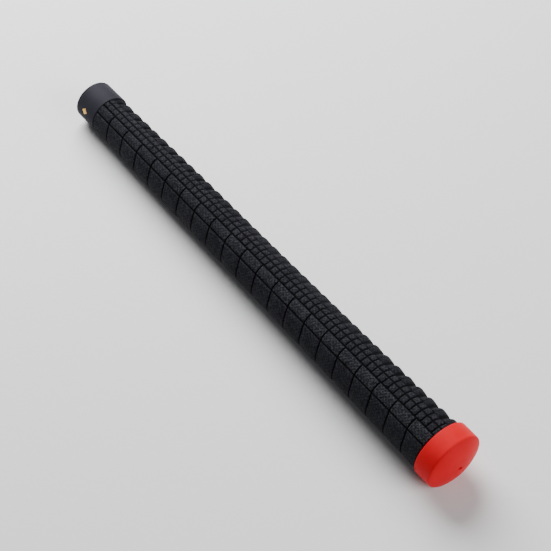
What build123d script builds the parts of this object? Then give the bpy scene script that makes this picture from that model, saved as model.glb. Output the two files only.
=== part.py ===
from build123d import *
import os
from math import cos, radians, sin, sqrt

# Golf grip with a wrapped, embossed skin, 10.5 in long. Millimetres.
#
# The grip lies along +X. Its mouth, where the club's shaft goes in, is at X = 0 and its
# butt cap is at the +X end. The origin is on the bore's axis in the plane of the mouth, and
# +Z is up. Angles about the grip are measured from +Z towards -Y.

# ---------------------------------------------------------------------------
# Driving dimensions
# ---------------------------------------------------------------------------

GRIP_LENGTH = 267.0
CORE_DIAMETER = 14.732  # 0.580 in, the core size that shafts are sold for
BORE_DEPTH = 257.5  # from the mouth to the inner face of the cap
MOUTH_LEAD_IN = 0.5

# Rubber collar round the mouth
COLLAR_LENGTH = 14.1
COLLAR_RADIUS = 10.15
COLLAR_MOUTH_RADIUS = 10.05
COLLAR_RIM_ROUND = 1.1

# Gold alignment mark, inlaid in the collar
MARK_LENGTH = 3.9
MARK_WIDTH = 3.6
MARK_DEPTH = 0.25
MARK_ANGLE = 71.3

# Taper of the body: (distance from the mouth, outer radius)
BODY_TAPER = [(COLLAR_LENGTH, 10.0), (70.0, 11.05), (133.0, 11.6), (253.9, 13.4)]
SKIN_THICKNESS_MOUTH = 1.65
SKIN_THICKNESS_BUTT = 2.3
FELT_THICKNESS = 0.4
SEAM_WIDTH_ANGLE = 3.0
SEAM_RECESS = 0.25

# Butt cap
CAP_RADIUS = 14.3
CAP_LIP_ROUND = 0.5
CAP_DOME_RISE = 3.8
CAP_SHOULDER_ROUND = 1.4
CAP_VENT_RADIUS = 0.9
CAP_VENT_ROUND = 0.35
FLANGE_THICKNESS = 1.6
FLANGE_OVERHANG = 1.0

# Embossed pattern. It is mirrored about the crest line, the middle of the band of long scallops.
# On each side come two rows of small squares, a row of bricks, and a row of wide panels that
# ends at the seam, opposite the crest line.
CREST_ANGLE = -68.1
CREST_HALF_ANGLE = 48.0
SQUARE_ROW_ANGLE = 18.65
SQUARE_ROWS = 2
BRICK_ROW_ANGLE = 27.05
SCALLOP_PITCH = 7.0
FIRST_SCALLOP = 17.15
SCALLOP_RISE = 2.3  # length of each scallop's steep side, which faces the mouth
SCALLOP_HEEL = 1.3  # length of the short drop at its other end
SCALLOP_HEEL_SHARE = 0.6  # that drop's share of the valley's depth
SCALLOP_DEPTH_ENDS = 1.25
SCALLOP_DEPTH_MIDDLE = 0.6
SHALLOWEST_SCALLOP = 150.0
SHALLOW_REACH = 70.0  # from the shallowest scallop to the first at full depth
BAND_DROP_MOUTH = 0.3  # how far the scallops' crests lie below the brick rows
BAND_DROP_BUTT = 0.78
BAND_DROP_AT_CAP = 0.35  # the last scallop flares up to meet the cap
SQUARE_PITCH = SCALLOP_PITCH / 2
SQUARE_GROOVE_WIDTH = 0.5
SQUARE_GROOVE_DEPTH = 0.35
BRICK_PITCH = 11.49
FIRST_BRICK_EDGE = 24.1
PANEL_SHIFT = 1.6  # the panels' edges lie this much nearer the butt than the bricks' edges
BRICK_GROOVE_WIDTH = 0.7
BRICK_GROOVE_DEPTH = 0.45
LONG_GROOVE_ANGLE = 2.8
LONG_GROOVE_DEPTH = 0.45
CUTTER_OVER = 1.5  # how far a cutter's outline stands clear of the skin

# ---------------------------------------------------------------------------
# Values that follow from them
# ---------------------------------------------------------------------------

BORE_RADIUS = CORE_DIAMETER / 2
BODY_END = BODY_TAPER[-1][0]
SLEEVE_MOUTH_RADIUS = BODY_TAPER[0][1] - SKIN_THICKNESS_MOUTH - FELT_THICKNESS
SLEEVE_BUTT_RADIUS = BODY_TAPER[-1][1] - SKIN_THICKNESS_BUTT - FELT_THICKNESS
FLANGE_RADIUS = SLEEVE_BUTT_RADIUS + FLANGE_OVERHANG
FLANGE_FRONT = BORE_DEPTH - FLANGE_THICKNESS

BRICK_START = CREST_HALF_ANGLE + SQUARE_ROWS * SQUARE_ROW_ANGLE  # from the crest line
BRICK_END = BRICK_START + BRICK_ROW_ANGLE
SEAM_ANGLE = CREST_ANGLE + 180


def along(x):
    """How far x is along the body, from 0 at the collar to 1 at the cap."""
    return (x - COLLAR_LENGTH) / (BODY_END - COLLAR_LENGTH)


def between(low, high, share):
    """The value that far from low to high."""
    return low + (high - low) * share


def taper_line(inset):
    """The body's outer line, moved in by inset."""
    return [(x, radius - inset) for x, radius in BODY_TAPER]


def skin_back_line(inset=0):
    """The line of the skin's back, moved in by inset. The skin is thicker towards the butt."""
    thickness = [between(SKIN_THICKNESS_MOUTH, SKIN_THICKNESS_BUTT, along(x)) for x, _ in BODY_TAPER]
    return [(x, radius - t - inset) for (x, radius), t in zip(BODY_TAPER, thickness)]


def body_radius(x):
    """The body's outer radius at x, on its taper."""
    for (x0, r0), (x1, r1) in zip(BODY_TAPER, BODY_TAPER[1:]):
        if x <= x1:
            break
    return between(r0, r1, (x - x0) / (x1 - x0))


def crest_radius(x):
    """The radius of the scallops' crests at x."""
    return body_radius(x) - between(BAND_DROP_MOUTH, BAND_DROP_BUTT, along(x))


def scallop_depth(x):
    """The depth of a valley between scallops, least in the middle of the body."""
    away = min(1, abs(x - SHALLOWEST_SCALLOP) / SHALLOW_REACH)
    return between(SCALLOP_DEPTH_MIDDLE, SCALLOP_DEPTH_ENDS, away**2)


def scallop_line():
    """The saw-tooth outline of the band of scallops, from the collar to the cap."""
    points = [(COLLAR_LENGTH, crest_radius(COLLAR_LENGTH))]
    for x in stations(FIRST_SCALLOP, SCALLOP_PITCH):
        depth = scallop_depth(x)
        heel = x - SCALLOP_HEEL
        crest = x + SCALLOP_RISE
        points.append((heel, crest_radius(heel) - depth * (1 - SCALLOP_HEEL_SHARE)))
        points.append((x, crest_radius(x) - depth))
        points.append((crest, crest_radius(crest)))
    return points + [(BODY_END, body_radius(BODY_END) - BAND_DROP_AT_CAP)]


def half_plane(angle):
    """A plane through the grip's axis: its own X is the grip's +X and its Y points out at angle."""
    turn = radians(angle)
    return Plane(origin=(0, 0, 0), x_dir=(1, 0, 0), z_dir=(0, -cos(turn), -sin(turn)))


def tangent_plane(x, radius, angle):
    """A plane that touches the grip at x, facing out at angle."""
    turn = radians(angle)
    outward = (0, -sin(turn), cos(turn))
    spot = (x, -radius * sin(turn), radius * cos(turn))
    return Plane(origin=spot, x_dir=(1, 0, 0), z_dir=outward)


def stations(first, pitch):
    """Every pitch along the body from first, clear of its end."""
    count = int((BODY_END - 1 - first) / pitch) + 1
    return [first + pitch * i for i in range(count)]


def groove_lines():
    """The angles of the grooves that run along the grip, from the edges of the scallops' band outwards."""
    from_crest = [CREST_HALF_ANGLE + SQUARE_ROW_ANGLE * i for i in range(SQUARE_ROWS + 1)] + [BRICK_END]
    return [CREST_ANGLE + side * angle for side in (1, -1) for angle in from_crest]


# ---------------------------------------------------------------------------
# Underlisting: the rubber sleeve that grips the shaft
# ---------------------------------------------------------------------------

with BuildPart() as underlisting_sleeve:
    with BuildSketch(half_plane(0)):
        with BuildLine():
            Polyline(
                (MOUTH_LEAD_IN, BORE_RADIUS),
                (0, BORE_RADIUS + MOUTH_LEAD_IN),
                (0, SLEEVE_MOUTH_RADIUS),
                *skin_back_line(FELT_THICKNESS),
                (FLANGE_FRONT, SLEEVE_BUTT_RADIUS),
                (FLANGE_FRONT, FLANGE_RADIUS),
                (BORE_DEPTH, FLANGE_RADIUS),
                (BORE_DEPTH, BORE_RADIUS),
                close=True,
            )
        make_face()
    revolve(axis=Axis.X)

# ---------------------------------------------------------------------------
# Felt backing: glued round the sleeve, its two edges either side of the seam
# ---------------------------------------------------------------------------

with BuildPart() as felt_backing:
    with BuildSketch(half_plane(SEAM_ANGLE + SEAM_WIDTH_ANGLE / 2)):
        with BuildLine():
            Polyline(*skin_back_line(FELT_THICKNESS), *reversed(skin_back_line()), close=True)
        make_face()
    revolve(axis=Axis.X, revolution_arc=360 - SEAM_WIDTH_ANGLE)

# ---------------------------------------------------------------------------
# Skin: the embossed outer layer, bonded to the felt
# ---------------------------------------------------------------------------

with BuildPart() as grip_skin:
    with BuildSketch(half_plane(SEAM_ANGLE + SEAM_WIDTH_ANGLE / 2)):
        with BuildLine():
            Polyline(*skin_back_line(), *reversed(taper_line(0)), close=True)
        make_face()
    revolve(axis=Axis.X, revolution_arc=360 - SEAM_WIDTH_ANGLE)

    # Grooves along the grip, between the rows
    for angle in groove_lines():
        with BuildSketch(half_plane(angle - LONG_GROOVE_ANGLE / 2)):
            with BuildLine():
                floor = taper_line(LONG_GROOVE_DEPTH)
                Polyline(*floor, *reversed(taper_line(-CUTTER_OVER)), close=True)
            make_face()
        revolve(axis=Axis.X, revolution_arc=LONG_GROOVE_ANGLE, mode=Mode.SUBTRACT)

    # Grooves across the rows of bricks and of panels
    for start, end, shift in ((BRICK_START, BRICK_END, 0), (BRICK_END, 180, PANEL_SHIFT)):
        for angle in (CREST_ANGLE + start, CREST_ANGLE - end):
            with BuildSketch(half_plane(angle)):
                for x in stations(FIRST_BRICK_EDGE + shift, BRICK_PITCH):
                    with Locations((x, body_radius(x) - BRICK_GROOVE_DEPTH)):
                        Rectangle(BRICK_GROOVE_WIDTH, CUTTER_OVER, align=(Align.CENTER, Align.MIN))
            revolve(axis=Axis.X, revolution_arc=end - start, mode=Mode.SUBTRACT)

    # Grooves across the rows of small squares
    for angle in (CREST_ANGLE + CREST_HALF_ANGLE, CREST_ANGLE - BRICK_START):
        with BuildSketch(half_plane(angle)):
            for x in stations(FIRST_SCALLOP, SQUARE_PITCH):
                with Locations((x, body_radius(x) - SQUARE_GROOVE_DEPTH)):
                    Rectangle(SQUARE_GROOVE_WIDTH, CUTTER_OVER, align=(Align.CENTER, Align.MIN))
        revolve(axis=Axis.X, revolution_arc=BRICK_START - CREST_HALF_ANGLE, mode=Mode.SUBTRACT)

    # The band of scallops, a little below the rest, with saw-tooth valleys
    with BuildSketch(half_plane(CREST_ANGLE - CREST_HALF_ANGLE)):
        with BuildLine():
            Polyline(*scallop_line(), *reversed(taper_line(-CUTTER_OVER)), close=True)
        make_face()
    revolve(axis=Axis.X, revolution_arc=2 * CREST_HALF_ANGLE, mode=Mode.SUBTRACT)

# ---------------------------------------------------------------------------
# Seam: the bead of polyurethane that closes the wrap's joint
# ---------------------------------------------------------------------------

with BuildPart() as seam_bead:
    with BuildSketch(half_plane(SEAM_ANGLE - SEAM_WIDTH_ANGLE / 2)):
        with BuildLine():
            Polyline(*skin_back_line(FELT_THICKNESS), *reversed(taper_line(SEAM_RECESS)), close=True)
        make_face()
    revolve(axis=Axis.X, revolution_arc=SEAM_WIDTH_ANGLE)

# ---------------------------------------------------------------------------
# Alignment mark: a gold diamond, flush with the collar
# ---------------------------------------------------------------------------

COLLAR_OUTLINE = [(0, COLLAR_MOUTH_RADIUS), (COLLAR_LENGTH, COLLAR_RADIUS)]

with BuildPart() as collar_mark:
    with BuildSketch(half_plane(0)):
        with BuildLine():
            floor = [(x, radius - MARK_DEPTH) for x, radius in reversed(COLLAR_OUTLINE)]
            Polyline(*COLLAR_OUTLINE, *floor, close=True)
        make_face()
    revolve(axis=Axis.X)
    with BuildSketch(tangent_plane(COLLAR_LENGTH / 2, COLLAR_RADIUS, MARK_ANGLE)):
        with BuildLine():
            half_length = MARK_LENGTH / 2
            half_width = MARK_WIDTH / 2
            Polyline((half_length, 0), (0, half_width), (-half_length, 0), (0, -half_width), close=True)
        make_face()
    extrude(amount=COLLAR_RADIUS / 2, both=True, mode=Mode.INTERSECT)

# ---------------------------------------------------------------------------
# Collar: the plain rubber ring round the sleeve at the mouth
# ---------------------------------------------------------------------------

with BuildPart() as mouth_collar:
    with BuildSketch(half_plane(0)):
        with BuildLine():
            inside = [(COLLAR_LENGTH, SLEEVE_MOUTH_RADIUS), (0, SLEEVE_MOUTH_RADIUS)]
            Polyline(*COLLAR_OUTLINE, *inside, close=True)
        make_face()
    revolve(axis=Axis.X)
    rim = mouth_collar.edges().filter_by(GeomType.CIRCLE).group_by(Axis.X)[0].sort_by(SortBy.RADIUS)[-1]
    fillet(rim, radius=COLLAR_RIM_ROUND)
    add(collar_mark.part, mode=Mode.SUBTRACT)

# ---------------------------------------------------------------------------
# Butt cap: closes the butt and holds the sleeve's flange
# ---------------------------------------------------------------------------

dome_radius = (CAP_RADIUS**2 + CAP_DOME_RISE**2) / (2 * CAP_DOME_RISE)


def dome_point(radius):
    """The point on the dome's outline at that radius."""
    return (GRIP_LENGTH - dome_radius + sqrt(dome_radius**2 - radius**2), radius)


with BuildPart() as butt_cap:
    with BuildSketch(half_plane(0)) as cap_outline:
        with BuildLine():
            Polyline(
                dome_point(CAP_VENT_RADIUS),
                (BORE_DEPTH, CAP_VENT_RADIUS),
                (BORE_DEPTH, FLANGE_RADIUS),
                (FLANGE_FRONT, FLANGE_RADIUS),
                (FLANGE_FRONT, SLEEVE_BUTT_RADIUS),
                (BODY_END, SLEEVE_BUTT_RADIUS),
                (BODY_END, CAP_RADIUS),
                dome_point(CAP_RADIUS),
            )
            ThreePointArc(
                dome_point(CAP_RADIUS),
                dome_point(CAP_RADIUS / 2),
                dome_point(CAP_VENT_RADIUS),
            )
        make_face()
        fillet(cap_outline.vertices().sort_by(Axis.X)[-1], radius=CAP_VENT_ROUND)
        fillet(cap_outline.vertices().group_by(Axis.Y)[-1].sort_by(Axis.X)[-1], radius=CAP_SHOULDER_ROUND)
        fillet(cap_outline.vertices().group_by(Axis.Y)[-1].sort_by(Axis.X)[0], radius=CAP_LIP_ROUND)
    revolve(axis=Axis.X)

# ---------------------------------------------------------------------------
# One STEP file per piece
# ---------------------------------------------------------------------------

os.makedirs("parts", exist_ok=True)

underlisting_sleeve.part.label = "underlisting_sleeve"
export_step(underlisting_sleeve.part, "parts/underlisting_sleeve.step")

felt_backing.part.label = "felt_backing"
export_step(felt_backing.part, "parts/felt_backing.step")

grip_skin.part.label = "grip_skin"
export_step(grip_skin.part, "parts/grip_skin.step")

seam_bead.part.label = "seam_bead"
export_step(seam_bead.part, "parts/seam_bead.step")

mouth_collar.part.label = "mouth_collar"
export_step(mouth_collar.part, "parts/mouth_collar.step")

collar_mark.part.label = "collar_mark"
export_step(collar_mark.part, "parts/collar_mark.step")

butt_cap.part.label = "butt_cap"
export_step(butt_cap.part, "parts/butt_cap.step")
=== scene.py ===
import math

import bpy
import numpy as np
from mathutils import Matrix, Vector


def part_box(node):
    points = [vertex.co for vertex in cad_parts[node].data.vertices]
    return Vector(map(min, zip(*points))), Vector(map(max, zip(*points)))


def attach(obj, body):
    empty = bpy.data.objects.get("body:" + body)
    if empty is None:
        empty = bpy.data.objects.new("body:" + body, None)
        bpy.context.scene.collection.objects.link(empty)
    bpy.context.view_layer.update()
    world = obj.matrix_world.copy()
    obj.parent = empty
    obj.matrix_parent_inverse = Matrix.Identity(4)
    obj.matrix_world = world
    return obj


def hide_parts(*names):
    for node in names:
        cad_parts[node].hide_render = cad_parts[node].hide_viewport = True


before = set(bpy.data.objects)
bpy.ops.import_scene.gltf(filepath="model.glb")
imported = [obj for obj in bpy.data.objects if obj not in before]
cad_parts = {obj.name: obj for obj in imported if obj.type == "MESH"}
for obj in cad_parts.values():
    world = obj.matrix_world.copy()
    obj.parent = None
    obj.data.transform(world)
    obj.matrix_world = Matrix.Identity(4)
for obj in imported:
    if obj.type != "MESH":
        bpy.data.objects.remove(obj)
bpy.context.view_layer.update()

# A golf grip lying on a pale floor. Metres, in the CAD's frame: the grip lies along +X with its
# mouth at X = 0. Angles about the grip are in degrees, from +Z towards -Y.

MM = 0.001

# ---------------------------------------------------------------------------
# Places read from the frame
# ---------------------------------------------------------------------------

COLLAR_LOW, COLLAR_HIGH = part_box("mouth_collar")
SKIN_LOW, SKIN_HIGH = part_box("grip_skin")
_, SLEEVE_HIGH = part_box("underlisting_sleeve")
_, CAP_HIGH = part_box("butt_cap")
MARK_LOW, MARK_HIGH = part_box("collar_mark")

MOUTH = COLLAR_LOW.x
BODY_START = SKIN_LOW.x
BODY_END = SKIN_HIGH.x
BODY_LENGTH = BODY_END - BODY_START
BORE_END = SLEEVE_HIGH.x
BUTT = CAP_HIGH.x
COLLAR_RADIUS = COLLAR_HIGH.z
FLANGE_RADIUS = SLEEVE_HIGH.z
CAP_RADIUS = CAP_HIGH.z

# ---------------------------------------------------------------------------
# Driving dimensions
# ---------------------------------------------------------------------------

BORE_RADIUS = 7.366 * MM
MOUTH_LEAD_IN = 0.5 * MM
COLLAR_MOUTH_RADIUS = 10.05 * MM
COLLAR_RIM_ROUND = 1.1 * MM
COLLAR_EDGE_ROUND = 0.25 * MM
MARK_ANGLE = 71.3
MARK_PROUD = 0.06 * MM
MARK_WIDTH = 3.6 * MM

# Taper of the body: (distance from the mouth, outer radius), then the layers below it
TAPER = [(14.1 * MM, 10.0 * MM), (70.0 * MM, 11.05 * MM), (133.0 * MM, 11.6 * MM), (253.9 * MM, 13.4 * MM)]
SKIN_THICKNESS = (1.65 * MM, 2.3 * MM)  # at the mouth and at the butt
FELT_THICKNESS = 0.4 * MM
FLANGE_THICKNESS = 1.6 * MM

CAP_LIP_ROUND = 0.5 * MM
CAP_SHOULDER_ROUND = 1.4 * MM
CAP_DOME_RISE = 3.8 * MM
CAP_VENT_RADIUS = 0.9 * MM
CAP_VENT_ROUND = 0.35 * MM

# Embossed pattern, mirrored about the crest line
CREST_ANGLE = -68.1
CREST_HALF_ANGLE = 48.0
SQUARE_ROW_ANGLE = 18.65
SQUARE_ROWS = 2
BRICK_ROW_ANGLE = 27.05
BRICK_START = CREST_HALF_ANGLE + SQUARE_ROWS * SQUARE_ROW_ANGLE  # from the crest line
BRICK_END = BRICK_START + BRICK_ROW_ANGLE  # wide panels from here to the seam
SEAM_ANGLE = CREST_ANGLE + 180
SEAM_HALF_ANGLE = 1.5

SCALLOP_PITCH = 7.0 * MM
FIRST_SCALLOP = 17.15 * MM
SCALLOP_RISE = 2.3 * MM
SCALLOP_HEEL = 1.3 * MM
SCALLOP_HEEL_SHARE = 0.6
SCALLOP_DEPTH = (0.60 * MM, 1.25 * MM)  # at the shallowest scallop and at the body's ends
SHALLOWEST_SCALLOP = 150 * MM
SHALLOW_REACH = 70 * MM  # from the shallowest scallop to the first at full depth
BAND_DROP = (0.3 * MM, 0.78 * MM)  # at the mouth and at the butt
BAND_FLARE = 0.43 * MM
BAND_FLARE_LENGTH = 5.0 * MM
SQUARE_PITCH = SCALLOP_PITCH / 2
BRICK_PITCH = 11.49 * MM
FIRST_BRICK_EDGE = 24.1 * MM
BRICK_LEAN = 1.7 * MM  # how much nearer the butt the cross grooves lie, away from the squares
BRICK_LEAN_ANGLES = (14.0, 54.0)  # from the squares, where that lean starts and ends

GROOVE_FLOOR = 0.10 * MM  # half width of a groove's flat floor
GROOVE_EDGE = 0.50 * MM  # half width of a groove with its rounded sides
BRICK_GROOVE_DEPTH = 0.50 * MM
SQUARE_GROOVE_DEPTH = 0.42 * MM
BRICK_CROWN = 0.10 * MM
SQUARE_CROWN = 0.20 * MM
END_ROUND = 0.5 * MM  # over which the skin's ends and seam edges drop away
MOUTH_END_DROP = 0.30 * MM
BUTT_END_DROP = 0.12 * MM
SEAM_EDGE_DROP = 0.30 * MM
LEAN_FADE = 8 * MM  # the lean fades out over this length at each end of the body
SQUARE_FADE = 0.4  # share of the squares' cross grooves left at the mouth
HALFWAY_GROOVE_DEPTH = 0.12 * MM  # the faint groove across each scallop
BAND_EDGE_DEPTH = 0.25 * MM

SEAM_RECESS = 0.45 * MM  # of the bead's edges, below the taper
SEAM_CROWN = 0.22 * MM
MARK_DEPTH = 0.2 * MM

# The skin's grid: places beside each groove across it and angles beside each groove along it
GROOVE_OFFSETS = [o * MM for o in (-0.50, -0.36, -0.22, -0.08, 0.08, 0.22, 0.36, 0.50)]
OPEN_OFFSETS = [o * MM for o in (0.95, 1.50, 2.05, 2.55)]
GROOVE_STEPS = (-2.6, -1.7, -0.6, 0.6, 1.7, 2.6)
OPEN_STEP = 6.5
COLUMN_GAP = 0.09 * MM  # columns closer than this are merged
ROW_GAP = 0.35
BACK_COLUMNS = 9


# ---------------------------------------------------------------------------
# Shapes
# ---------------------------------------------------------------------------

def smooth(t):
    t = np.clip(t, 0.0, 1.0)
    return t * t * (3.0 - 2.0 * t)


def between(low, high, share):
    return low + (high - low) * share


def notch(distance):
    """1 on a groove's floor and 0 past its rounded sides."""
    return 1.0 - smooth((np.abs(distance) - GROOVE_FLOOR) / (GROOVE_EDGE - GROOVE_FLOOR))


def along(x):
    """0 where the body meets the collar and 1 where it meets the cap."""
    return (x - BODY_START) / BODY_LENGTH


def body_radius(x):
    """The taper as a smooth curve through its stations (cubic Hermite)."""
    xs = np.array([p[0] for p in TAPER])
    rs = np.array([p[1] for p in TAPER])
    slopes = np.diff(rs) / np.diff(xs)
    tangents = np.concatenate([slopes[:1], (slopes[1:] + slopes[:-1]) / 2, slopes[-1:]])
    i = np.clip(np.searchsorted(xs, x, side="right") - 1, 0, len(xs) - 2)
    width = xs[i + 1] - xs[i]
    t = np.clip((x - xs[i]) / width, 0.0, 1.0)
    start = (1 + 2 * t) * (1 - t) ** 2 * rs[i] + t * (1 - t) ** 2 * width * tangents[i]
    end = t * t * (3 - 2 * t) * rs[i + 1] + t * t * (t - 1) * width * tangents[i + 1]
    return start + end


def nearest(value, first, pitch):
    """Signed distance from the nearest of the places first + k * pitch."""
    return (value - first + pitch / 2) % pitch - pitch / 2


def pillow(u, v, power):
    """0 in the middle of a block and 1 at its edges, for u and v from -1 to 1 across it."""
    return 1.0 - (1.0 - np.abs(u) ** power) * (1.0 - np.abs(v) ** power)


def scallop_relief(x):
    """Depth below the crests of the saw-tooth band: steep side, long fall, short heel."""
    s = (x - FIRST_SCALLOP) % SCALLOP_PITCH
    middle, ends = SCALLOP_DEPTH
    depth = between(middle, ends, np.clip(np.abs(x - SHALLOWEST_SCALLOP) / SHALLOW_REACH, 0, 1) ** 2)
    heel_start = SCALLOP_PITCH - SCALLOP_HEEL
    rise = 1.0 - smooth(s / SCALLOP_RISE)
    fall = (1 - SCALLOP_HEEL_SHARE) * smooth((s - SCALLOP_RISE) / (heel_start - SCALLOP_RISE) * 0.8) / 0.9
    heel = SCALLOP_HEEL_SHARE * smooth((s - heel_start) / SCALLOP_HEEL)
    return depth * np.clip(np.maximum(rise, fall + heel), 0.0, 1.0)


def degrees_from(angle, line):
    return np.abs((angle - line + 180.0) % 360.0 - 180.0)


def brick_lean(place, angle):
    """How far the cross grooves of bricks and panels are moved towards the butt."""
    start, end = BRICK_LEAN_ANGLES
    lean = BRICK_LEAN * smooth((degrees_from(angle, CREST_ANGLE) - BRICK_START - start) / (end - start))
    return lean * smooth(np.minimum(place - BODY_START, BODY_END - place) / LEAN_FADE)


def skin_relief(place, x, angle):
    """Depth below the taper, share of weave and share of groove, at x and at an angle about the grip.

    Place is where x would be if the cross grooves didn't lean.
    """
    from_crest = degrees_from(angle, CREST_ANGLE)
    radius = body_radius(x)
    arc = np.radians(1.0) * radius  # metres for each degree

    # Rows of bricks, then of panels
    brick_across = (from_crest - BRICK_START - BRICK_ROW_ANGLE / 2) / (BRICK_ROW_ANGLE / 2)
    panel_across = (from_crest - (BRICK_END + 180) / 2) / ((180 - BRICK_END) / 2)
    across = np.where(from_crest < BRICK_END, brick_across, panel_across)
    to_edge = nearest(place, FIRST_BRICK_EDGE, BRICK_PITCH)
    lengthwise = 1.0 - 2.0 * np.abs(to_edge) / BRICK_PITCH
    line = np.maximum(notch((from_crest - BRICK_START) * arc), notch((from_crest - BRICK_END) * arc))
    brick_groove = np.maximum(line, notch(to_edge))
    brick = BRICK_GROOVE_DEPTH * brick_groove + BRICK_CROWN * pillow(across, lengthwise, 4)

    # Rows of small squares
    row = (from_crest - CREST_HALF_ANGLE) % SQUARE_ROW_ANGLE
    across = (row - SQUARE_ROW_ANGLE / 2) / (SQUARE_ROW_ANGLE / 2)
    to_edge = nearest(x, FIRST_SCALLOP, SQUARE_PITCH)
    lengthwise = 1.0 - 2.0 * np.abs(to_edge) / SQUARE_PITCH
    line = notch(nearest(from_crest, CREST_HALF_ANGLE, SQUARE_ROW_ANGLE) * arc)
    square_groove = np.maximum(line, notch(to_edge) * between(SQUARE_FADE, 1.0, along(x)))
    square = SQUARE_GROOVE_DEPTH * square_groove + SQUARE_CROWN * pillow(across, lengthwise, 2)

    # Band of scallops, sunk below the rest, with its edge groove and a faint groove halfway
    sunk = between(BAND_DROP[0], BAND_DROP[1], along(x))
    sunk = sunk - BAND_FLARE * smooth((x - (BODY_END - BAND_FLARE_LENGTH)) / BAND_FLARE_LENGTH)
    edge = notch((from_crest - CREST_HALF_ANGLE) * arc)
    halfway = notch(nearest(x, FIRST_SCALLOP + SQUARE_PITCH, SCALLOP_PITCH))
    tooth = scallop_relief(x)
    scallop_groove = np.maximum(edge * 0.7, np.maximum(0.2 * halfway, 0.7 * tooth / SCALLOP_DEPTH[1]))
    scallop = tooth + HALFWAY_GROOVE_DEPTH * halfway + BAND_EDGE_DEPTH * edge

    in_band = from_crest < CREST_HALF_ANGLE
    in_squares = (from_crest >= CREST_HALF_ANGLE) & (from_crest < BRICK_START)
    depth = np.where(in_band, scallop, np.where(in_squares, square, brick))
    groove = np.where(in_band, scallop_groove, np.where(in_squares, square_groove, brick_groove))
    in_panels = from_crest > BRICK_END
    # Towards the cap the bricks' weave gets stronger: its bump, and with it the painted highlight on its
    # threads.
    brick_weave = between(0.6, 1.0, smooth(along(x)))
    weave = np.where(in_band, 0.5, np.where(in_squares | in_panels, 0.6, brick_weave)) * (1.0 - groove)

    # The row of squares beside the band slopes down to it
    depth = depth + sunk * smooth((CREST_HALF_ANGLE + SQUARE_ROW_ANGLE - from_crest) / SQUARE_ROW_ANGLE)

    # Rounded ends and seam edges
    from_seam = (degrees_from(angle, SEAM_ANGLE) - SEAM_HALF_ANGLE) * arc
    depth = depth + MOUTH_END_DROP * (1.0 - smooth((x - BODY_START) / END_ROUND))
    depth = depth + BUTT_END_DROP * (1.0 - smooth((BODY_END - x) / END_ROUND))
    depth = depth + SEAM_EDGE_DROP * (1.0 - smooth(from_seam / END_ROUND))
    return depth, weave, groove


def merged(values, gap):
    """Sorted values with any closer than gap to the one before left out."""
    kept = []
    for value in sorted(values):
        if not kept or value - kept[-1] > gap:
            kept.append(value)
    return kept


def skin_columns():
    """Places along the body: close together at each groove, wider between."""
    places = [BODY_START, BODY_START + 0.25 * MM, BODY_START + 0.5 * MM]
    groove = FIRST_SCALLOP - SQUARE_PITCH
    while groove < BODY_END:
        places += [groove + offset for offset in GROOVE_OFFSETS + OPEN_OFFSETS]
        groove += SQUARE_PITCH
    brick = FIRST_BRICK_EDGE
    while brick < BODY_END - MM:
        places += [brick + offset for offset in GROOVE_OFFSETS]
        brick += BRICK_PITCH
    inside = [p for p in places if BODY_START <= p <= BODY_END - 0.1 * MM]
    return np.array(merged(inside, COLUMN_GAP) + [BODY_END])


def skin_rows():
    """Angles round the skin, from one edge of the seam to the other."""
    lines = [CREST_HALF_ANGLE + i * SQUARE_ROW_ANGLE for i in range(SQUARE_ROWS + 1)] + [BRICK_END]
    lines += [-line for line in lines]
    lines = sorted((CREST_ANGLE + line - SEAM_ANGLE) % 360.0 for line in lines)
    first, last = SEAM_HALF_ANGLE, 360.0 - SEAM_HALF_ANGLE
    rows = [first, first + 1.2, last - 1.2]
    edges = [first + 2.4] + lines + [last - 2.4]
    for line in lines:
        rows += [line + step for step in GROOVE_STEPS]
    for low, high in zip(edges, edges[1:]):
        count = max(2, round((high - low) / OPEN_STEP))
        rows += [low + (high - low) * k / count for k in range(count + 1)]
    inside = [r for r in rows if first <= r < last - 0.3]
    inside = [r for r in inside if all(abs(r - line) > 0.3 for line in lines)]
    return np.array(merged(inside, ROW_GAP) + [last]) + SEAM_ANGLE


def ring_point(x, radius, angle):
    """Points at x, radius and angle, as an array with a last axis of 3."""
    turn = np.radians(angle)
    return np.stack(np.broadcast_arrays(x, -radius * np.sin(turn), radius * np.cos(turn)), axis=-1)


def mesh_piece(name, points, faces, replaced):
    """A mesh object that stands for a CAD node and rides on the grip's one body."""
    mesh = bpy.data.meshes.new(name)
    mesh.from_pydata([tuple(p) for p in points], [], faces)
    mesh.validate()
    mesh.polygons.foreach_set("use_smooth", [True] * len(mesh.polygons))
    piece = bpy.data.objects.new(name, mesh)
    bpy.context.scene.collection.objects.link(piece)
    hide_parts(replaced)
    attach(piece, "root")
    return piece


def grid_faces(count_a, count_b, start=0, flip=False, closed_b=False):
    """Quads over a grid of points stored a by a, each with count_b points."""
    faces = []
    last = count_b if closed_b else count_b - 1
    for a in range(count_a - 1):
        for b in range(last):
            c = (b + 1) % count_b
            quad = (a * count_b + b, a * count_b + c, (a + 1) * count_b + c, (a + 1) * count_b + b)
            quad = tuple(start + i for i in quad)
            faces.append(quad[::-1] if flip else quad)
    return faces


def float_attribute(piece, name, values):
    layer = piece.data.attributes.new(name, "FLOAT", "POINT")
    layer.data.foreach_set("value", np.asarray(values, dtype=np.float32).ravel())


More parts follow.
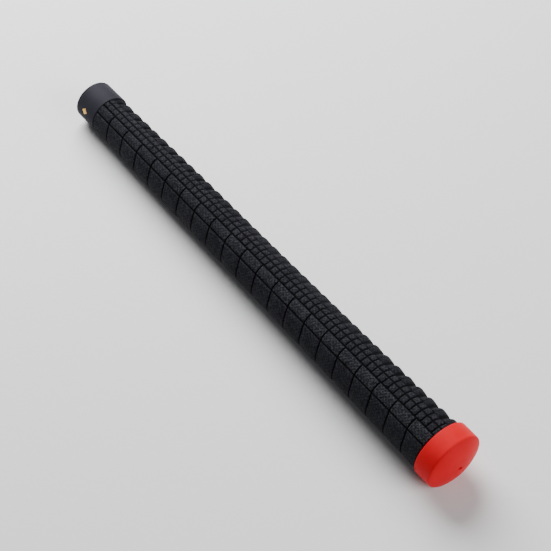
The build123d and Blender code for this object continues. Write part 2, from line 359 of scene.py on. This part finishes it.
def make_skin():
    """The embossed skin: a relief outside, a plain back, and walls at its ends and seam."""
    columns, rows = skin_columns(), skin_rows()
    place, angle = np.meshgrid(columns, rows, indexing="ij")
    x = place + brick_lean(place, angle)
    depth, weave, groove = skin_relief(place, x, angle)
    outer = ring_point(x, body_radius(x) - depth, angle)
    thickness = between(SKIN_THICKNESS[0], SKIN_THICKNESS[1], along(columns[:, None]))
    inner = ring_point(place, np.broadcast_to(body_radius(columns[:, None]) - thickness, x.shape), angle)

    # The back needs only a few columns, and its first and last meet the front's.
    few = np.linspace(0, len(columns) - 1, BACK_COLUMNS).round().astype(int)
    inner = inner[few]
    points = np.concatenate([outer.reshape(-1, 3), inner.reshape(-1, 3)])
    n_rows, n_columns, start = len(rows), len(columns), len(columns) * len(rows)
    faces = grid_faces(n_columns, n_rows) + grid_faces(len(few), n_rows, start, flip=True)
    last_in = start + (len(few) - 1) * n_rows
    last_out = (n_columns - 1) * n_rows
    for r in range(n_rows - 1):
        faces.append((r, start + r, start + r + 1, r + 1))
        faces.append((last_out + r + 1, last_in + r + 1, last_in + r, last_out + r))
    for row, flip in ((0, False), (n_rows - 1, True)):
        front = [c * n_rows + row for c in range(n_columns)]
        back = [start + c * n_rows + row for c in range(len(few))]
        wall = front + back[::-1]
        faces.append(tuple(wall[::-1] if flip else wall))
    skin = mesh_piece("skin_relief", points, faces, "grip_skin")
    plain = np.zeros(inner.shape[0] * n_rows)
    float_attribute(skin, "weave", np.concatenate([weave.ravel(), plain]))
    float_attribute(skin, "groove", np.concatenate([groove.ravel(), plain]))

    # UVs: distance along the grip and distance round it, in metres
    flat = np.stack([x, np.radians(angle) * body_radius(x)], axis=-1).reshape(-1, 2)
    flat = np.concatenate([flat, np.zeros((inner.shape[0] * n_rows, 2))])
    corners = np.zeros(len(skin.data.loops), dtype=np.int64)
    skin.data.loops.foreach_get("vertex_index", corners)
    layer = skin.data.uv_layers.new(name="around")
    layer.data.foreach_set("uv", flat[corners].astype(np.float32).ravel())
    return skin


def rounded(corner, before, after, radius, steps=8):
    """Points on the round that replaces a corner of an outline."""
    corner, before, after = (np.array(p, float) for p in (corner, before, after))
    to_before = (before - corner) / np.linalg.norm(before - corner)
    to_after = (after - corner) / np.linalg.norm(after - corner)
    half = math.acos(float(np.clip(to_before @ to_after, -1.0, 1.0))) / 2
    bisector = (to_before + to_after) / np.linalg.norm(to_before + to_after)
    centre = corner + bisector * radius / math.sin(half)
    first = corner + to_before * radius / math.tan(half) - centre
    last = corner + to_after * radius / math.tan(half) - centre
    sweep = math.pi - 2 * half
    points = []
    for i in range(steps + 1):
        t = i / steps
        weights = math.sin((1 - t) * sweep) / math.sin(sweep), math.sin(t * sweep) / math.sin(sweep)
        points.append(tuple(centre + first * weights[0] + last * weights[1]))
    return points


def make_lathe(name, outline, replaced, segments=192):
    """A closed outline of (x, radius) points turned about the grip's axis."""
    angles = np.arange(segments) * 360.0 / segments
    xs = np.array([p[0] for p in outline])
    radii = np.array([p[1] for p in outline])
    points = ring_point(xs[:, None], radii[:, None], angles[None, :]).reshape(-1, 3)
    count = len(outline)
    faces = grid_faces(count, segments, closed_b=True)
    last = (count - 1) * segments
    for b in range(segments):
        c = (b + 1) % segments
        faces.append((last + b, last + c, c, b))
    return mesh_piece(name, points, faces, replaced)


def sharpen(piece, degrees=35.0):
    """Keeps an outline's real corners crisp under smooth shading."""
    piece.data.set_sharp_from_angle(angle=math.radians(degrees))


def sleeve_radius(x):
    thickness = between(SKIN_THICKNESS[0], SKIN_THICKNESS[1], along(x))
    return float(body_radius(x) - thickness - FELT_THICKNESS)


def make_sleeve():
    """The underlisting: the bore that is seen at the mouth, and the flange inside the cap."""
    mouth_radius = sleeve_radius(BODY_START)
    butt_radius = sleeve_radius(BODY_END)
    flange_front = BORE_END - FLANGE_THICKNESS
    taper = [(x, sleeve_radius(x)) for x in np.linspace(BODY_START, BODY_END, 13)]
    outline = [
        (BORE_END, BORE_RADIUS),
        (MOUTH + MOUTH_LEAD_IN, BORE_RADIUS),
        *rounded((MOUTH, BORE_RADIUS + MOUTH_LEAD_IN), (MOUTH + MOUTH_LEAD_IN, BORE_RADIUS),
                 (MOUTH, mouth_radius), 0.2 * MM, 4),
        (MOUTH, mouth_radius),
        *taper,
        (flange_front, butt_radius),
        (flange_front, FLANGE_RADIUS),
        (BORE_END, FLANGE_RADIUS),
    ]
    sleeve = make_lathe("sleeve", outline, "underlisting_sleeve")
    sharpen(sleeve)
    return sleeve


def make_collar():
    """The collar, with a rounded rim and a soft back edge."""
    inside = sleeve_radius(BODY_START)
    front = (MOUTH, COLLAR_MOUTH_RADIUS)
    back = (BODY_START, COLLAR_RADIUS)
    outline = [
        (BODY_START, inside),
        (MOUTH, inside),
        *rounded(front, (MOUTH, inside), back, COLLAR_RIM_ROUND, 12),
        (BODY_START / 2, (COLLAR_MOUTH_RADIUS + COLLAR_RADIUS) / 2),
        *rounded(back, front, (BODY_START, inside), COLLAR_EDGE_ROUND, 5),
    ]
    collar = make_lathe("collar", outline, "mouth_collar")
    sharpen(collar)
    return collar


def make_cap():
    """The butt cap: crisp lip, straight side, round shoulder, shallow dome and a vent."""
    dome_radius = (CAP_RADIUS**2 + CAP_DOME_RISE**2) / (2 * CAP_DOME_RISE)

    def dome(radius):
        return (BUTT - dome_radius + math.sqrt(dome_radius**2 - radius**2), radius)

    inside = sleeve_radius(BODY_END)
    flange_front = BORE_END - FLANGE_THICKNESS
    lip = (BODY_END, CAP_RADIUS)
    corner = dome(CAP_RADIUS)
    shoulder = rounded(corner, lip, dome(CAP_RADIUS - 4 * MM), CAP_SHOULDER_ROUND, 14)
    dome_start = shoulder[-1][1] - 0.3 * MM
    dome_line = [dome(r) for r in np.linspace(dome_start, CAP_VENT_RADIUS + 2 * CAP_VENT_ROUND, 14)]
    vent_corner = dome(CAP_VENT_RADIUS)
    outline = [
        (BORE_END, FLANGE_RADIUS),
        (flange_front, FLANGE_RADIUS),
        (flange_front, inside),
        (BODY_END, inside),
        *rounded(lip, (BODY_END, inside), corner, CAP_LIP_ROUND, 6),
        ((BODY_END + corner[0]) / 2, CAP_RADIUS),
        *shoulder,
        *dome_line,
        *rounded(vent_corner, dome(2 * CAP_VENT_RADIUS), (BORE_END, CAP_VENT_RADIUS), CAP_VENT_ROUND, 6),
        (BORE_END, CAP_VENT_RADIUS),
    ]
    cap = make_lathe("cap", outline, "butt_cap", segments=224)
    sharpen(cap)
    return cap


def make_mark():
    """A thin gold diamond that follows the collar's curve, a little proud of it."""
    middle = (MARK_LOW.x + MARK_HIGH.x) / 2
    half_length = (MARK_HIGH.x - MARK_LOW.x) / 2
    half_angle = math.degrees(MARK_WIDTH / 2 / COLLAR_RADIUS)
    count = 17
    steps = np.linspace(-1.0, 1.0, count)
    s, t = np.meshgrid(steps, steps, indexing="ij")
    x = middle + half_length * (s + t) / 2
    angle = MARK_ANGLE + half_angle * (s - t) / 2
    surface = between(COLLAR_MOUTH_RADIUS, COLLAR_RADIUS, (x - MOUTH) / (BODY_START - MOUTH))
    edge = (1.0 - np.abs(s) ** 10) * (1.0 - np.abs(t) ** 10)
    top = ring_point(x, surface + MARK_PROUD * edge, angle)
    bottom = ring_point(x, surface - MARK_DEPTH, angle)
    points = np.concatenate([top.reshape(-1, 3), bottom.reshape(-1, 3)])
    start = count * count
    faces = grid_faces(count, count, flip=True) + grid_faces(count, count, start)
    rim = list(range(count))
    rim += [a * count + count - 1 for a in range(1, count)]
    rim += [(count - 1) * count + b for b in range(count - 2, -1, -1)]
    rim += [a * count for a in range(count - 2, 0, -1)]
    for i, corner in enumerate(rim):
        other = rim[(i + 1) % len(rim)]
        faces.append((corner, other, start + other, start + corner))
    return mesh_piece("mark", points, faces, "collar_mark")


def make_seam():
    """The bead along the wrap's joint, with a crowned top."""
    columns = np.linspace(BODY_START, BODY_END, 90)
    across = np.linspace(-1.0, 1.0, 9)
    x, side = np.meshgrid(columns, across, indexing="ij")
    angle = SEAM_ANGLE + SEAM_HALF_ANGLE * side
    top = ring_point(x, body_radius(x) - SEAM_RECESS + SEAM_CROWN * (1.0 - side**2), angle)
    thickness = between(SKIN_THICKNESS[0], SKIN_THICKNESS[1], along(x))
    bottom = ring_point(x, body_radius(x) - thickness - FELT_THICKNESS, angle)
    points = np.concatenate([top.reshape(-1, 3), bottom.reshape(-1, 3)])
    start = x.size
    n_columns, n_across = x.shape
    faces = grid_faces(n_columns, n_across) + grid_faces(n_columns, n_across, start, flip=True)
    last = (n_columns - 1) * n_across
    for b in range(n_across - 1):
        faces.append((b, start + b, start + b + 1, b + 1))
        faces.append((last + b + 1, start + last + b + 1, start + last + b, last + b))
    for a in range(n_columns - 1):
        near, far = a * n_across, (a + 1) * n_across
        faces.append((near, far, start + far, start + near))
        near, far = near + n_across - 1, far + n_across - 1
        faces.append((far, near, start + near, start + far))
    return mesh_piece("seam", points, faces, "seam_bead")


# ---------------------------------------------------------------------------
# Materials
# ---------------------------------------------------------------------------

class Shader:
    """A material's node tree, with short ways to add and link nodes."""

    def __init__(self, name):
        self.material = bpy.data.materials.new(name)
        self.material.use_nodes = True
        self.tree = self.material.node_tree
        self.surface = self.tree.nodes["Principled BSDF"]
        self.place = self.add("ShaderNodeTexCoord").outputs["Object"]

    def add(self, kind, **settings):
        node = self.tree.nodes.new(kind)
        for key, value in settings.items():
            setattr(node, key, value)
        return node

    def feed(self, socket, source):
        """Sets a socket to a value, or links an output to it."""
        if isinstance(source, bpy.types.NodeSocket):
            self.tree.links.new(source, socket)
        else:
            socket.default_value = source

    def noise(self, size, detail=3.0, roughness=0.5):
        """Noise with features about size metres across, from 0 to 1."""
        node = self.add("ShaderNodeTexNoise")
        self.feed(node.inputs["Vector"], self.place)
        self.feed(node.inputs["Scale"], 1.0 / size)
        self.feed(node.inputs["Detail"], detail)
        self.feed(node.inputs["Roughness"], roughness)
        return node.outputs["Fac"]

    def cells(self, size):
        """Distance to the nearest cell centre, for cells about size metres across."""
        node = self.add("ShaderNodeTexVoronoi", feature="SMOOTH_F1")
        self.feed(node.inputs["Vector"], self.place)
        self.feed(node.inputs["Scale"], 1.0 / size)
        return node.outputs["Distance"]

    def math(self, operation, a, b):
        node = self.add("ShaderNodeMath", operation=operation)
        self.feed(node.inputs[0], a)
        self.feed(node.inputs[1], b)
        return node.outputs[0]

    def remap(self, value, low, high, from_low=0.0, from_high=1.0):
        node = self.add("ShaderNodeMapRange")
        self.feed(node.inputs["Value"], value)
        self.feed(node.inputs["From Min"], from_low)
        self.feed(node.inputs["From Max"], from_high)
        self.feed(node.inputs["To Min"], low)
        self.feed(node.inputs["To Max"], high)
        return node.outputs["Result"]

    def blend(self, share, a, b):
        """A colour between a and b."""
        node = self.add("ShaderNodeMix", data_type="RGBA")
        self.feed(node.inputs["Factor"], share)
        self.feed(node.inputs[6], a)
        self.feed(node.inputs[7], b)
        return node.outputs[2]

    def attribute(self, name):
        return self.add("ShaderNodeAttribute", attribute_name=name).outputs["Fac"]

    def bump(self, height, depth, under=None):
        """Turns a height from 0 to 1 into a normal, for relief depth metres deep."""
        node = self.add("ShaderNodeBump")
        self.feed(node.inputs["Strength"], 1.0)
        self.feed(node.inputs["Distance"], depth)
        self.feed(node.inputs["Height"], height)
        if under is not None:
            self.feed(node.inputs["Normal"], under)
        return node.outputs["Normal"]

    def finish(self, colour, roughness, normal, **constants):
        self.feed(self.surface.inputs["Base Color"], colour)
        self.feed(self.surface.inputs["Roughness"], roughness)
        self.feed(self.surface.inputs["Normal"], normal)
        for name, value in constants.items():
            self.feed(self.surface.inputs[name.replace("_", " ")], value)
        return self.material


def rgb(red, green, blue):
    return (red, green, blue, 1.0)


def skin_material():
    """Black polyurethane: leather grain, a fine diagonal weave on the bricks with a painted highlight on its
    threads, and painted shade in the grooves.
    """
    s = Shader("black_polyurethane")
    weave, groove = s.attribute("weave"), s.attribute("groove")
    flat = s.add("ShaderNodeUVMap", uv_map="around").outputs["UV"]
    bands = []
    for turn in (45.0, -45.0):
        turned = s.add("ShaderNodeMapping")
        s.feed(turned.inputs["Vector"], flat)
        turned.inputs["Rotation"].default_value[2] = math.radians(turn)
        wave = s.add("ShaderNodeTexWave", wave_type="BANDS", bands_direction="X", wave_profile="SIN")
        s.feed(wave.inputs["Vector"], turned.outputs["Vector"])
        s.feed(wave.inputs["Scale"], 0.314 / (1.3 * MM))
        s.feed(wave.inputs["Distortion"], 1.2)
        s.feed(wave.inputs["Detail"], 2.0)
        s.feed(wave.inputs["Detail Scale"], 1.5)
        bands.append(wave.outputs["Fac"])
    threads = s.math("MAXIMUM", bands[0], bands[1])
    broken = s.remap(s.noise(0.9 * MM, detail=2.0, roughness=0.6), 0.0, 1.0, 0.36, 0.64)
    threads = s.math("MULTIPLY", s.math("MULTIPLY", threads, broken), weave)
    grain = s.cells(0.9 * MM)
    fine = s.noise(0.35 * MM, detail=2.0)
    patches = s.noise(14 * MM, detail=4.0)

    share = s.remap(patches, 0.0, 1.0, 0.35, 0.65)
    raised = s.blend(share, rgb(0.0088, 0.0090, 0.0118), rgb(0.0126, 0.0128, 0.0162))
    # Painted highlight: the weave's threads are lighter in the colour and stand in for their glints.
    raised_with_glints = s.blend(threads, raised, rgb(0.052, 0.053, 0.060))
    # Painted shade: the grooves are darker than the raised skin.
    colour = s.blend(groove, raised_with_glints, rgb(0.0045, 0.0045, 0.0052))
    uneven = s.math("ADD", s.math("MULTIPLY", groove, 0.5), s.math("MULTIPLY", fine, 0.5))
    roughness = s.remap(uneven, 0.46, 0.78)
    normal = s.bump(grain, 0.08 * MM)
    normal = s.bump(fine, 0.05 * MM, normal)
    normal = s.bump(threads, 0.20 * MM, normal)
    return s.finish(colour, roughness, normal, Specular_IOR_Level=0.012)


def rubber_material(name, dark, light, roughness, grain=0.02 * MM, specular=0.35):
    """Moulded rubber: faint cloudiness, a soft satin and a very fine skin."""
    s = Shader(name)
    clouds = s.noise(9 * MM, detail=4.0)
    fine = s.noise(0.5 * MM, detail=3.0)
    pores = s.cells(1.6 * MM)
    colour = s.blend(s.remap(clouds, 0.0, 1.0, 0.3, 0.7), dark, light)
    rough = s.remap(s.math("ADD", s.math("MULTIPLY", clouds, 0.4), s.math("MULTIPLY", fine, 0.6)),
                    roughness - 0.07, roughness + 0.07, 0.3, 0.7)
    normal = s.bump(pores, grain * 0.6)
    normal = s.bump(fine, grain, normal)
    return s.finish(colour, rough, normal, Specular_IOR_Level=specular)


def gold_material():
    """Satin gold paint with a slightly uneven film."""
    s = Shader("gold_paint")
    film = s.noise(0.6 * MM, detail=4.0)
    speck = s.noise(0.15 * MM, detail=1.0)
    colour = s.blend(s.remap(film, 0.0, 1.0, 0.35, 0.65), rgb(0.60, 0.33, 0.055), rgb(0.76, 0.45, 0.09))
    roughness = s.remap(speck, 0.28, 0.44, 0.3, 0.7)
    return s.finish(colour, roughness, s.bump(film, 0.02 * MM), Metallic=0.6)


def felt_material():
    """Grey non-woven felt."""
    s = Shader("grey_felt")
    fibres = s.noise(0.4 * MM, detail=6.0, roughness=0.7)
    clumps = s.noise(3 * MM, detail=3.0)
    mixed = s.math("ADD", s.math("MULTIPLY", fibres, 0.7), s.math("MULTIPLY", clumps, 0.3))
    colour = s.blend(s.remap(mixed, 0.0, 1.0, 0.3, 0.7), rgb(0.24, 0.235, 0.22), rgb(0.38, 0.37, 0.35))
    roughness = s.remap(mixed, 0.85, 1.0, 0.3, 0.7)
    return s.finish(colour, roughness, s.bump(fibres, 0.15 * MM), Sheen_Weight=0.3)


def floor_material():
    """A pale matte sweep with barely visible mottling."""
    s = Shader("pale_floor")
    mottle = s.noise(0.25, detail=4.0)
    fine = s.noise(0.004, detail=3.0)
    colour = s.blend(s.remap(mottle, 0.0, 1.0, 0.3, 0.7), rgb(0.86, 0.86, 0.86), rgb(0.89, 0.89, 0.89))
    roughness = s.remap(fine, 0.75, 0.9, 0.3, 0.7)
    return s.finish(colour, roughness, s.bump(fine, 0.1 * MM), Specular_IOR_Level=0.2)


def dress(thing, material):
    thing.data.materials.clear()
    thing.data.materials.append(material)


# ---------------------------------------------------------------------------
# Stage, light and camera
# ---------------------------------------------------------------------------

FLOOR_SIZE = 12.0
KEY_DIRECTION = Vector((-0.70, 0.24, 0.66))
KEY_DISTANCE = 0.8
KEY_SIZE = 0.75
KEY_POWER = 17.0
FILL_DIRECTION = Vector((0.85, 0.30, 0.50))
FILL_DISTANCE = 1.2
FILL_SIZE = 0.8
FILL_POWER = 9.5
WORLD_STRENGTH = 0.12

CAMERA_AZIMUTH = 51.7
CAMERA_ELEVATION = 52.5
CAMERA_DISTANCE = 0.772
CAMERA_LENS = 111.9
AIM_RIGHT = 6.22 * MM  # how far right of the grip's middle the camera aims, across its view
AIM_UP = -3.21 * MM


def make_floor():
    """A floor that touches the collar's back edge and the cap's lip."""
    slope = (COLLAR_RADIUS - CAP_RADIUS) / (BODY_END + CAP_LIP_ROUND - BODY_START)
    middle = (MOUTH + BUTT) / 2
    height = -COLLAR_RADIUS + slope * (middle - BODY_START)
    half = FLOOR_SIZE / 2
    corners = [(-half, -half), (half, -half), (half, half), (-half, half)]
    points = [(middle + x, y, height + slope * x) for x, y in corners]
    mesh = bpy.data.meshes.new("floor")
    mesh.from_pydata(points, [], [(0, 1, 2, 3)])
    floor = bpy.data.objects.new("floor", mesh)
    bpy.context.scene.collection.objects.link(floor)
    dress(floor, floor_material())


def make_light(name, direction, distance, size, power, aim):
    data = bpy.data.lights.new(name, "AREA")
    data.shape = "DISK"
    data.size = size
    data.energy = power
    light = bpy.data.objects.new(name, data)
    bpy.context.scene.collection.objects.link(light)
    light.location = aim + direction.normalized() * distance
    light.rotation_mode = "QUATERNION"
    light.rotation_quaternion = (-direction).to_track_quat("-Z", "Y")


def make_world():
    world = bpy.data.worlds.new("studio")
    world.use_nodes = True
    background = world.node_tree.nodes["Background"]
    background.inputs["Color"].default_value = rgb(0.95, 0.97, 1.0)
    background.inputs["Strength"].default_value = WORLD_STRENGTH
    bpy.context.scene.world = world


def make_camera(middle):
    azimuth, elevation = math.radians(CAMERA_AZIMUTH), math.radians(CAMERA_ELEVATION)
    back = Vector((
        math.sin(azimuth) * math.cos(elevation),
        -math.cos(azimuth) * math.cos(elevation),
        math.sin(elevation),
    ))
    right = Vector((math.cos(azimuth), math.sin(azimuth), 0.0))
    up = back.cross(right)
    aim = middle + right * AIM_RIGHT + up * AIM_UP
    data = bpy.data.cameras.new("camera")
    data.lens = CAMERA_LENS
    data.sensor_width = 36.0
    data.clip_start = 0.01
    data.clip_end = 50.0
    camera = bpy.data.objects.new("camera", data)
    bpy.context.scene.collection.objects.link(camera)
    camera.location = aim + back * CAMERA_DISTANCE
    camera.rotation_mode = "QUATERNION"
    camera.rotation_quaternion = (-back).to_track_quat("-Z", "Y")
    bpy.context.scene.camera = camera


# ---------------------------------------------------------------------------
# The scene
# ---------------------------------------------------------------------------

MIDDLE = Vector(((MOUTH + BUTT) / 2, 0.0, 0.0))

make_camera(MIDDLE)
make_world()
make_floor()
make_light("key_softbox", KEY_DIRECTION, KEY_DISTANCE, KEY_SIZE, KEY_POWER, MIDDLE)
make_light("fill_softbox", FILL_DIRECTION, FILL_DISTANCE, FILL_SIZE, FILL_POWER, MIDDLE)

dress(make_skin(), skin_material())
dress(make_seam(), rubber_material("seam_bead", rgb(0.008, 0.008, 0.009), rgb(0.013, 0.013, 0.014), 0.45))
dress(
    make_collar(),
    rubber_material("charcoal_rubber", rgb(0.022, 0.021, 0.028), rgb(0.028, 0.027, 0.036), 0.6, specular=0.05),
)
dress(make_sleeve(), rubber_material("black_rubber", rgb(0.010, 0.010, 0.011), rgb(0.018, 0.018, 0.019), 0.62))
dress(
    make_cap(),
    rubber_material("red_rubber", rgb(0.60, 0.006, 0.012), rgb(0.66, 0.009, 0.016), 0.45, 0.012 * MM, 0.04),
)
dress(make_mark(), gold_material())
dress(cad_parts["felt_backing"], felt_material())
